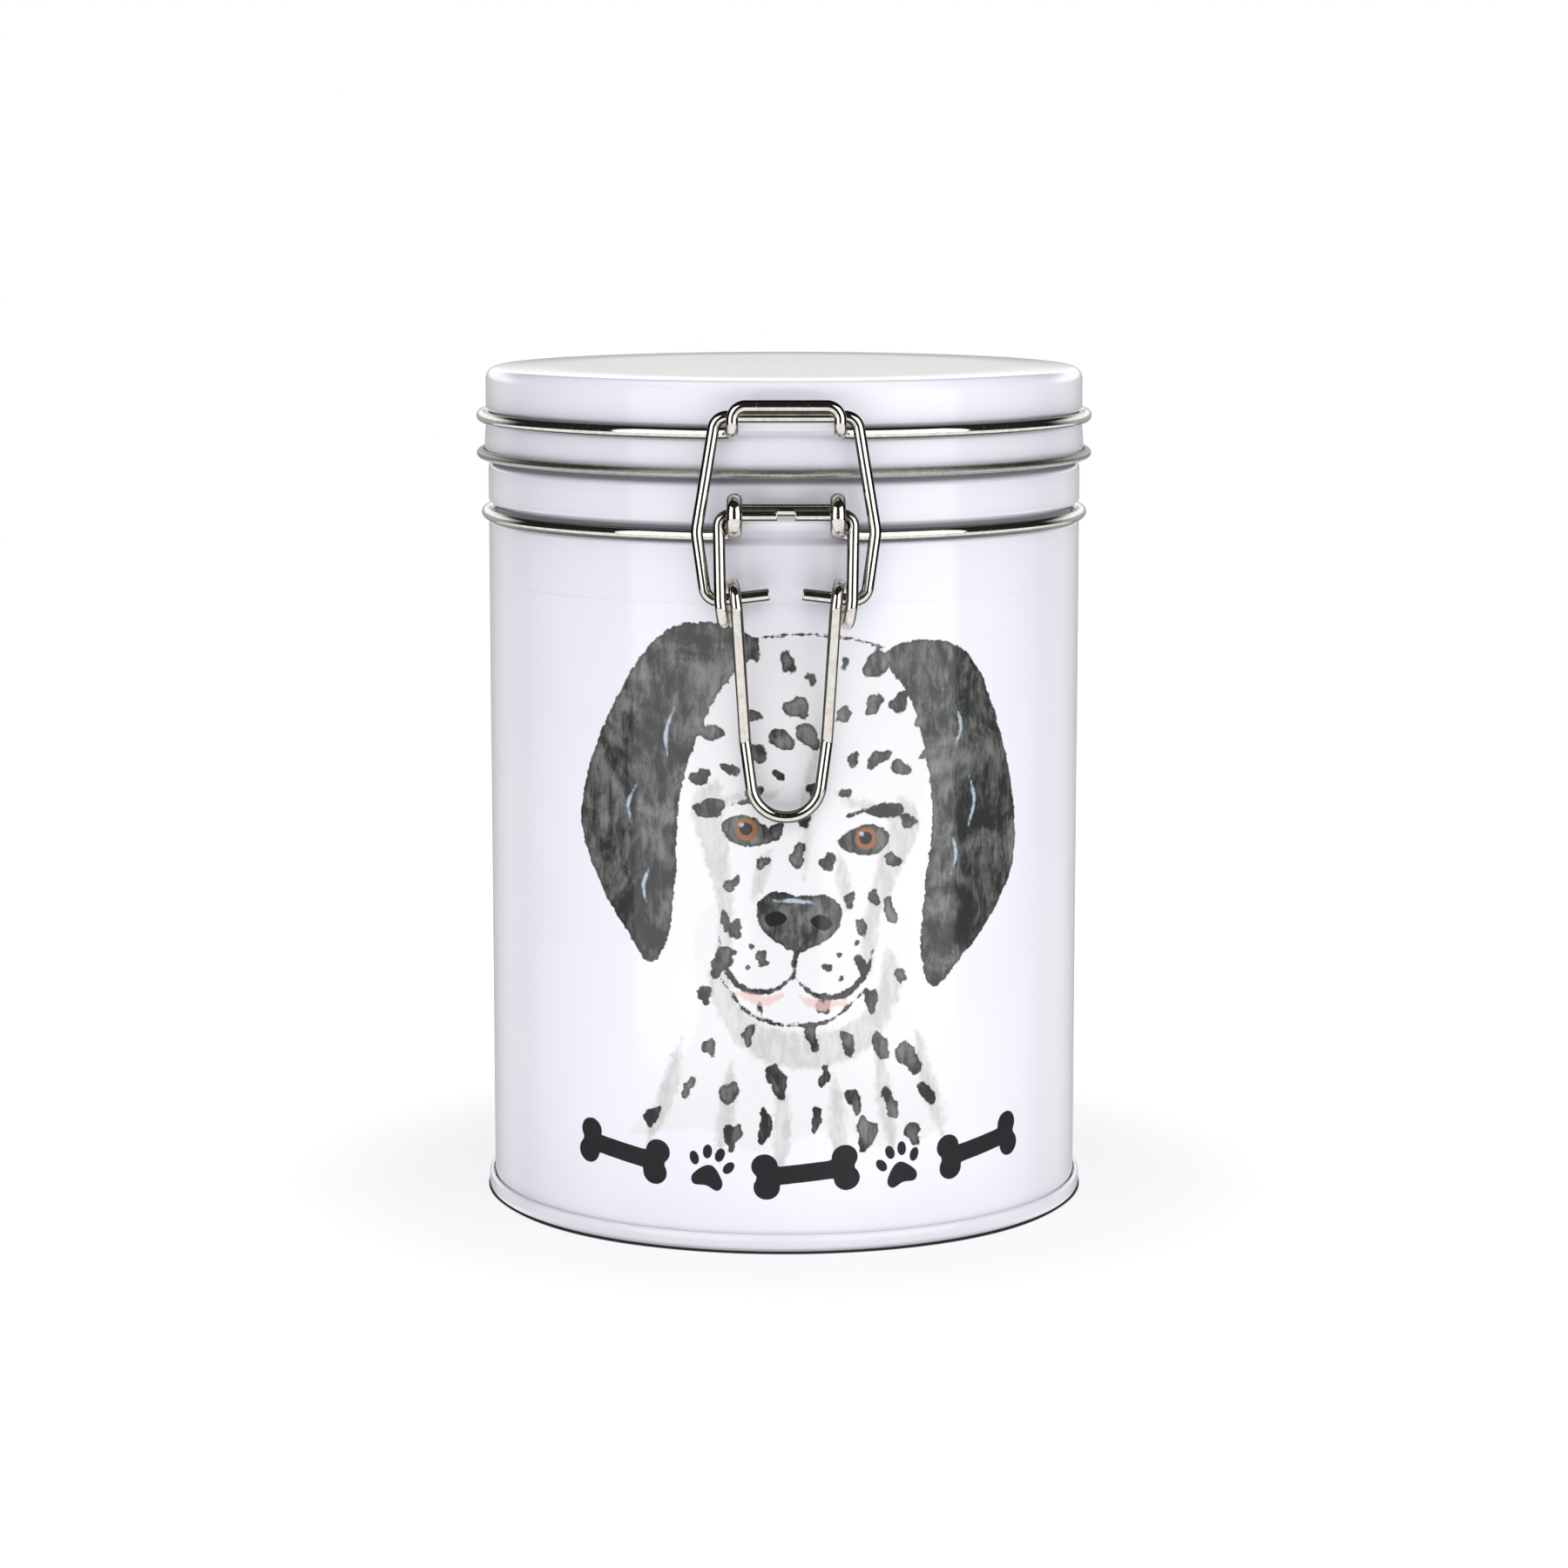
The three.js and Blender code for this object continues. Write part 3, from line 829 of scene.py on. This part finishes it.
def film_faces(columns, rows):
    """Faces of a closed film: its front as a grid, its lower and upper edges, its back and its two ends.
    The front's rows of vertices come first, from the bottom up, then the back's lower and upper rows."""
    top, back_low, back_high = ((rows + k) * columns for k in (-1, 0, 1))
    faces = []
    for i in range(rows - 1):
        a = i * columns
        faces += [(a + j, a + j + 1, a + j + 1 + columns, a + j + columns) for j in range(columns - 1)]
    for j in range(columns - 1):
        faces.append((back_low + j, back_low + j + 1, j + 1, j))
        faces.append((top + j, top + j + 1, back_high + j + 1, back_high + j))
    for start in range(0, columns - 1, BACK_STEP):
        run = range(start, min(start + BACK_STEP, columns - 1) + 1)
        faces.append([back_low + j for j in reversed(run)] + [back_high + j for j in run])
    left = [i * columns for i in range(rows)]
    faces.append([back_low] + left + [back_high])
    right = [i * columns + columns - 1 for i in range(rows)]
    faces.append([back_high + columns - 1] + right[::-1] + [back_low + columns - 1])
    return faces


def build_print():
    """The printed layer: a thin closed sheet round the front of the wall, with the inks in its vertices."""
    angles = print_columns()
    heights = np.arange(PRINT_LOW, PRINT_HIGH, PRINT_PITCH)
    around, up = np.meshgrid(angles, heights)
    on_wall = lambda r, a, z: np.stack([r * np.sin(a), -r * np.cos(a), z], -1).reshape(-1, 3)
    front = on_wall(BODY_R + PRINT_FACE, around, up)
    back = [on_wall(BODY_R + PRINT_LIFT, angles, np.full(len(angles), z)) for z in heights[[0, -1]]]
    verts = np.vstack([front, *back])
    piece = make_piece("wall_print", verts.tolist(), film_faces(len(angles), len(heights)), [PRINT])
    unrolled = np.stack([around.ravel() * BODY_R, up.ravel()], 1) / MM
    for ink, edge in draw_picture(unrolled).items():
        values = np.full(len(verts), FAR, np.float32)
        values[: len(edge)] = edge
        piece.data.attributes.new("ink_" + ink, "FLOAT", "POINT").data.foreach_set("value", values)
    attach(piece, "canister")


build_print()

# -------- bent wire


def bend(x, y, z, radius_mm):
    """A corner of a run, and how tightly the wire is bent there."""
    return (Vector((x, y, z)), radius_mm * MM)


def corner_of(item):
    return item[0] if isinstance(item, tuple) else item


def lay_wire(run):
    """Stations along a run of points and bends."""
    out = []
    for i, item in enumerate(run):
        if not isinstance(item, tuple):
            out.append(item)
            continue
        corner, radius = item
        u = (corner_of(run[i - 1]) - corner).normalized()
        v = (corner_of(run[i + 1]) - corner).normalized()
        half = u.angle(v) / 2
        turn = math.pi - 2 * half
        middle = (u + v).normalized() * (radius / math.sin(half)) + corner
        start = u * (radius / math.tan(half)) + corner - middle
        axis = u.cross(start).normalized()
        steps = max(3, math.ceil(turn / BEND_STEP))
        out += [middle + Quaternion(axis, turn * k / steps) @ start for k in range(steps + 1)]
    return out


def coil(axis, radius, from_x, to_x, from_deg, to_deg):
    """A turn round an axis along X, 0 degrees being +Y and 90 being +Z, which shifts evenly along X."""
    turn = math.radians(to_deg - from_deg)
    steps = math.ceil(abs(turn) / BEND_STEP)
    out = []
    for k in range(steps + 1):
        t = k / steps
        a = math.radians(from_deg) + turn * t
        x = from_x + (to_x - from_x) * t
        out.append(Vector((x, axis.y + radius * math.cos(a), axis.z + radius * math.sin(a))))
    return out


def tangent_deg(place, axis, radius, side):
    """The angle at which a straight run from a place meets a coil."""
    away = math.hypot(place.y - axis.y, place.z - axis.z)
    towards = math.atan2(place.z - axis.z, place.y - axis.y)
    return math.degrees(towards + side * math.acos(radius / away))


def half_ring(r, z, leave_x):
    """The right half of a ring, from the front to the rear, between the places where it leaves its groove."""
    opening = math.asin(leave_x / r)
    angles = np.linspace(opening, math.pi - opening, 90)
    return [Vector((r * math.sin(a), -r * math.cos(a), z)) for a in angles]


def symmetric(right):
    """The whole wire from its right half, in either order, joined on the middle plane."""
    left = [Vector((-p.x, p.y, p.z)) for p in right if p.x > 1e-9]
    return left[::-1] + right if right[0].x < 1e-9 else right + left[::-1]


def clean(stations):
    """Without stations that nearly coincide."""
    out = [stations[0]]
    for p in stations[1:]:
        if (p - out[-1]).length > 0.02 * MM:
            out.append(p)
    return out


def rolled_over(ring, inwards, angle):
    """A ring of a wire's sheared end, whose rim is rounded off."""
    centre, tangent, side, radius, length = ring
    roll = 0.16 * MM
    moved = centre + tangent * inwards * roll * (1 - math.cos(angle))
    return moved, tangent, side, radius - roll * (1 - math.sin(angle)), length


def wire_rings(stations):
    """The wire's sections: centre, direction, one side, radius, and the length of wire up to there."""
    ahead = [(b - a).normalized() for a, b in zip(stations, stations[1:])]
    tangents = [(a + b).normalized() for a, b in zip([ahead[0]] + ahead, ahead + [ahead[-1]])]
    normal = tangents[0].orthogonal().normalized()
    rings = []
    length = 0.0
    for i, (centre, tangent) in enumerate(zip(stations, tangents)):
        if i:
            normal = tangents[i - 1].rotation_difference(tangent) @ normal
            length += (centre - stations[i - 1]).length
        normal = (normal - tangent * normal.dot(tangent)).normalized()
        rings.append((centre, tangent, normal, WIRE_R, length))
    start = [rolled_over(rings[0], 1, a) for a in (0, 0.5, 1.0, 1.57)]
    end = [rolled_over(rings[-1], -1, a) for a in (1.57, 1.0, 0.5, 0)]
    return start + rings[1:-1] + end


def sweep(name, stations, widen=None):
    """A round wire along the stations, with sheared ends whose rims are slightly rolled over.
    widen(station) is how much wider than round the wire is along X."""
    rings = wire_rings(clean(stations))
    verts, space, run = [], [], []
    for centre, tangent, side, radius, length in rings:
        other = tangent.cross(side)
        wide = widen(centre) if widen else 1.0
        for k in range(WIRE_SIDES):
            a = 2 * math.pi * k / WIRE_SIDES
            out = (side * math.cos(a) + other * math.sin(a)) * radius
            verts.append(centre + Vector((out.x * wide, out.y, out.z)))
            space += [math.cos(a) * radius, math.sin(a) * radius, length]
            run += list(tangent)
    faces = []
    for a in range(0, len(verts) - WIRE_SIDES, WIRE_SIDES):
        b = a + WIRE_SIDES
        for k in range(WIRE_SIDES):
            n = (k + 1) % WIRE_SIDES
            faces.append((a + k, a + n, b + n, b + k))
    numbers = [0] * len(faces) + [1, 1]
    faces.append(range(WIRE_SIDES)[::-1])
    faces.append(range(len(verts) - WIRE_SIDES, len(verts)))
    piece = make_piece(name, verts, faces, [NICKEL, CUT_STEEL], numbers, 50)
    for label, values in (("wire_space", space), ("wire_run", run)):
        layer = piece.data.attributes.new(label, "FLOAT_VECTOR", "POINT")
        layer.data.foreach_set("vector", np.array(values, np.float32))
    return piece


RING_LEAVES_X = 13 * MM
EYE_X, EYE_R, EYE_BAR_RISE = 8.8 * MM, 2.7 * MM, 0.6 * MM
EYE_WIDEN = 1.26  # the eyes are pressed a little flat
COIL_AT = Vector((0, -58, 114.45)) * MM
COIL_OUT_X, COIL_IN_X, COIL_R = 11.2 * MM, 8.4 * MM, 3.4 * MM
HANDLE_KNEE = Vector((7.05, -56.3, 90.7)) * MM
HANDLE_END = Vector((5.3, -56.6, 77.4)) * MM
LINK_TOP_X = 11.5 * MM
BAIL_KNEE = Vector((15.25, -58.05, 126.8)) * MM
REAR_OUT_X, REAR_IN_X, REAR_R = 8.2 * MM, 5.8 * MM, 2.45 * MM


def eye_width(station):
    """How much wider the wire is here, easing in where the front eyes begin and end."""
    from_eye = abs(abs(station.x) - EYE_X)
    eases = min(max((0.8 * MM - from_eye) / (0.6 * MM), 0), 1)
    return 1 + (EYE_WIDEN - 1) * eases if station.y < -BODY_R else 1


def build_body_wire():
    bar_y, bar_z = LEVER_AXIS.y + EYE_R, LEVER_AXIS.z + EYE_BAR_RISE
    eye = coil(LEVER_AXIS, EYE_R, EYE_X, EYE_X, 30, 270)
    ring = half_ring(BODY_RING_R, BODY_RING_Z, RING_LEAVES_X)
    rear_y = HINGE_AXIS.y + REAR_R
    z = BODY_RING_Z
    right = [Vector((0, bar_y, bar_z))]
    right += lay_wire([Vector((3 * MM, bar_y, bar_z)), bend(EYE_X, bar_y, bar_z, 0.8), eye[0]])
    right += eye[1:]
    under = bend(EYE_X, -BODY_RING_R - 0.6 * MM, z + 0.4 * MM, 2)
    right += lay_wire([eye[-1], under, ring[0]])[1:-1]
    right += ring
    right += lay_wire([
        ring[-1],
        bend(REAR_OUT_X, BODY_RING_R + 0.2 * MM, z, 2),
        bend(REAR_OUT_X, rear_y, z, 2.2),
        Vector((REAR_OUT_X, rear_y, HINGE_AXIS.z)),
    ])[1:-1]
    right += coil(HINGE_AXIS, REAR_R, REAR_OUT_X, REAR_IN_X, 0, 345)
    wire = sweep("body_ring_wire", symmetric(right), eye_width)
    settle(wire, "canister", "nickel_wire", "body_wire")


def build_lid_wire():
    hook_x, hook_y = 9.15 * MM, -60.85 * MM
    low_z, top_z = 143.9 * MM, 148.2 * MM
    leg_x = 11.2 * MM
    ring = half_ring(LID_RING_R, LID_RING_Z, RING_LEAVES_X)
    right = [Vector((0, hook_y, top_z))]
    right += lay_wire([
        Vector((3 * MM, hook_y, top_z)),
        bend(hook_x, hook_y, top_z, 2.25),
        bend(hook_x, hook_y, low_z, 2),
        bend(hook_x, -LID_RING_R - 0.3 * MM, LID_RING_Z + 0.2 * MM, 1.6),
        ring[0],
    ])[:-1]
    right += ring
    right += lay_wire([
        ring[-1],
        bend(leg_x, LID_RING_R + 2.3 * MM, LID_RING_Z, 1.8),
        bend(leg_x, HINGE_AXIS.y, HINGE_AXIS.z, 1.8),
        Vector((3.8 * MM, HINGE_AXIS.y, HINGE_AXIS.z)),
    ])[1:]
    settle(sweep("lid_ring_wire", symmetric(right)), "lid", "nickel_wire", "lid_wire")


def build_lever():
    link_meets = tangent_deg(LEVER_AXIS, COIL_AT, COIL_R, 1)
    handle_leaves = tangent_deg(HANDLE_KNEE, COIL_AT, COIL_R, -1) + 720
    turn = coil(COIL_AT, COIL_R, COIL_OUT_X, COIL_IN_X, link_meets, handle_leaves)
    right = lay_wire([
        Vector((1.5 * MM, LEVER_AXIS.y, LEVER_AXIS.z)),
        bend(LINK_TOP_X, LEVER_AXIS.y, LEVER_AXIS.z, 2),
        turn[0],
    ])[:-1]
    right += turn
    right += lay_wire([
        turn[-1],
        bend(*HANDLE_KNEE, 4),
        bend(*HANDLE_END, 5.9),
        Vector((0, HANDLE_END.y, HANDLE_END.z)),
    ])[1:]
    settle(sweep("clasp_lever", symmetric(right)), "lever", "nickel_wire", "lever")


def build_bail():
    right = lay_wire([
        Vector((0, CROSSBAR_Y, CROSSBAR_Z)),
        bend(12 * MM, CROSSBAR_Y, CROSSBAR_Z, 2.3),
        bend(*BAIL_KNEE, 6),
        bend(13.6 * MM, BAIL_AXIS.y, BAIL_AXIS.z - 0.65 * MM, 2.4),
        Vector((2.85 * MM, BAIL_AXIS.y, BAIL_AXIS.z + 0.6 * MM)),
    ])
    settle(sweep("clasp_bail", symmetric(right)), "bail", "nickel_wire", "bail")


build_body_wire()
build_lid_wire()
build_lever()
build_bail()

# -------- studio


def area_light(name, energy, place, target, width, height):
    light = bpy.data.lights.new(name, "AREA")
    light.shape = "RECTANGLE"
    light.size, light.size_y = width, height
    light.energy = energy
    lamp = add_object(name, light)
    lamp.location = place
    lamp.rotation_mode = "QUATERNION"
    lamp.rotation_quaternion = (Vector(place) - Vector(target)).to_track_quat("Z", "Y")
    lamp.visible_camera = False
    lamp.visible_glossy = False
    return lamp


def shine(name, strength, place, width, height, pieces):
    """A glowing card that only these pieces mirror, and that throws no light. It faces the tin."""
    energy = strength * math.pi * width * height
    card = area_light(name, energy, place, (0, 0, place.z), width, height)
    card.visible_glossy = True
    card.visible_diffuse = False
    card.light_linking.receiver_collection = pieces
    return card


def standing_shine(name, strength, from_azimuth, to_azimuth, pieces):
    """A tall card in front of the tin, between two azimuths. Azimuth 0 is in front of the clasp."""
    distance, low, high = 1.3, -0.25, 1.3
    azimuth = math.radians(from_azimuth + to_azimuth) / 2
    width = 2 * distance * math.tan(math.radians(to_azimuth - from_azimuth) / 2)
    place = Vector((math.sin(azimuth) * distance, -math.cos(azimuth) * distance, (low + high) / 2))
    shine(name, strength, place, width, high - low, pieces)


def table_material():
    """White, fading into the surround. The table glows, which is painted light: dimmer near the tin for the
    camera as a painted soft shadow, and stronger in the light it throws onto the tin as a painted bounce. A
    painted contact shadow makes a dark line where the seam meets the table, wider in front.
    """
    material, tree, shader = new_material("table_white")
    place = object_place(tree)
    away = add_node(tree, "ShaderNodeVectorMath", operation="LENGTH", Vector=place).outputs["Value"]
    speck = noise(tree, place, 60, 3)
    white = mix_colour(tree, speck, (0.29, 0.29, 0.29, 1), (0.31, 0.31, 0.31, 1))
    front = add_node(tree, "ShaderNodeSeparateXYZ", Vector=place).outputs["Y"]
    # painted contact shadow: near-black colour and no glow just past the seam, wider in front
    gap = ramp(tree, front, -0.02, -0.05, 0.3 * MM, 1.4 * MM)
    past_seam = maths(tree, "SUBTRACT", away, SEAM_R)
    under = ramp(tree, maths(tree, "SUBTRACT", past_seam, gap), -0.2 * MM, 0.1 * MM)
    # painted light: the table glows; for the camera the glow is dimmer near the tin, a painted soft shadow,
    # and other rays see a stronger glow, a painted bounce onto the tin's lower wall
    seen = ramp(tree, away, 0.055, 0.16, 0.665, 1.0)
    painted_bounce_glow = ramp(tree, away, 0.055, 0.12, 1.1, 1.5)
    glow = choose(tree, add_node(tree, "ShaderNodeLightPath").outputs["Is Camera Ray"], painted_bounce_glow, seen)
    give(tree, shader, Base_Color=mix_colour(tree, under, (0.01, 0.01, 0.015, 1), white), Roughness=0.7)
    give(tree, shader, Emission_Color=(1, 1, 1, 1), Emission_Strength=times(tree, glow, under))
    return material


def build_floor():
    """A round table, as three rings of faces."""
    steps = 96
    turns = [2 * math.pi * k / steps for k in range(steps)]
    verts = [(0, 0, 0)]
    for r in (0.1, 0.3, 0.6):
        verts += [(r * math.cos(a), r * math.sin(a), 0) for a in turns]
    faces = [(0, 1 + k, 1 + (k + 1) % steps) for k in range(steps)]
    for a in (1, 1 + steps):
        b = a + steps
        faces += [(a + k, b + k, b + (k + 1) % steps, a + (k + 1) % steps) for k in range(steps)]
    floor = make_piece("floor", verts, faces, [table_material()])
    floor.visible_glossy = False


def build_world():
    """White for the camera and soft light. Mirrors see a white table, a white backdrop and a dark room."""
    world = bpy.data.worlds.new("studio")
    bpy.context.scene.world = world
    world.use_nodes = True
    tree = world.node_tree
    tree.nodes.clear()
    way = add_node(tree, "ShaderNodeTexCoord").outputs["Generated"]
    parts = add_node(tree, "ShaderNodeSeparateXYZ", Vector=way).outputs
    below = ramp(tree, parts[2], -0.26, -0.32)
    backdrop = times(tree, ramp(tree, parts[1], 0.42, 0.78), ramp(tree, parts[2], 0.45, 0.25))
    backdrop = times(tree, backdrop, ramp(tree, parts[2], 0.0, 0.12, 0.45, 1.12))
    mirrored = maths(tree, "MAXIMUM", times(tree, below, 1.05), backdrop)
    mirrored = maths(tree, "MAXIMUM", mirrored, 0.02)
    rays = add_node(tree, "ShaderNodeLightPath").outputs
    strength = choose(tree, rays["Is Glossy Ray"], 0.38, mirrored)
    strength = choose(tree, rays["Is Camera Ray"], strength, 1.0)
    tint = mix_colour(tree, rays["Is Diffuse Ray"], (1, 1, 1, 1), (0.98, 0.965, 1.08, 1))
    glow = add_node(tree, "ShaderNodeBackground", Color=tint, Strength=strength)
    output = add_node(tree, "ShaderNodeOutputWorld")
    tree.links.new(glow.outputs[0], output.inputs[0])


def light_group(name, pieces):
    """Pieces as a group that a card or a lamp can be kept to."""
    group = bpy.data.collections.new(name)
    for piece in pieces:
        group.objects.link(piece)
    return group


def build_lights():
    meshes = [piece for piece in bpy.context.scene.objects if piece.type == "MESH"]
    wires = light_group("wire_pieces", [m for m in meshes if "wire_run" in m.data.attributes])
    sheet = light_group("sheet_pieces", [m for m in meshes if "wire_run" not in m.data.attributes])
    lid = light_group("lid_pieces", [bpy.data.objects["lid_shell"]])
    standing_shine("card_left", 0.6, -59.5, -12.5, sheet)
    standing_shine("card_right", 0.65, 13, 68, sheet)
    standing_shine("strip_left", 1.6, -65, -19, wires)
    standing_shine("strip_right", 1.9, 19, 70, wires)
    area_light("top_softbox", 3.1, (0, -0.1, 1.1), (0, 0, 0.05), 1.2, 1.0)
    lid_fill = area_light("lid_fill", 2.6, (0, 0, 1.1), (0, 0, 0), 0.5, 0.5)
    lid_fill.light_linking.receiver_collection = lid
    overhead = shine("top_shine", 0.5, Vector((0, -0.1, 1.1)), 1.2, 1.0, sheet)
    overhead.rotation_quaternion = (1, 0, 0, 0)
    area_light("front_top", 2.7, (0.1, -0.95, 0.7), (0, 0, 0.1), 1.0, 0.5)
    area_light("front_left", 1.15, (-0.9, -1.0, 0.5), (0, 0, 0.07), 0.8, 0.9)
    area_light("front_right", 2.5, (1.0, -0.8, 0.5), (0, 0, 0.07), 0.8, 0.9)


def build_camera():
    camera = bpy.data.cameras.new("camera")
    camera.sensor_width = 36
    camera.lens = 98.5
    eye = add_object("camera", camera)
    away, around = 0.7859, math.radians(-0.35)
    eye.location = (away * math.sin(around), -away * math.cos(around), 0.1919)
    eye.rotation_euler = (math.radians(90 - 8.48), 0, around)
    bpy.context.scene.camera = eye


build_floor()
build_world()
build_lights()
build_camera()

scene = bpy.context.scene
scene.view_settings.view_transform = "Standard"
scene.cycles.use_denoising = True
scene.cycles.caustics_reflective = False
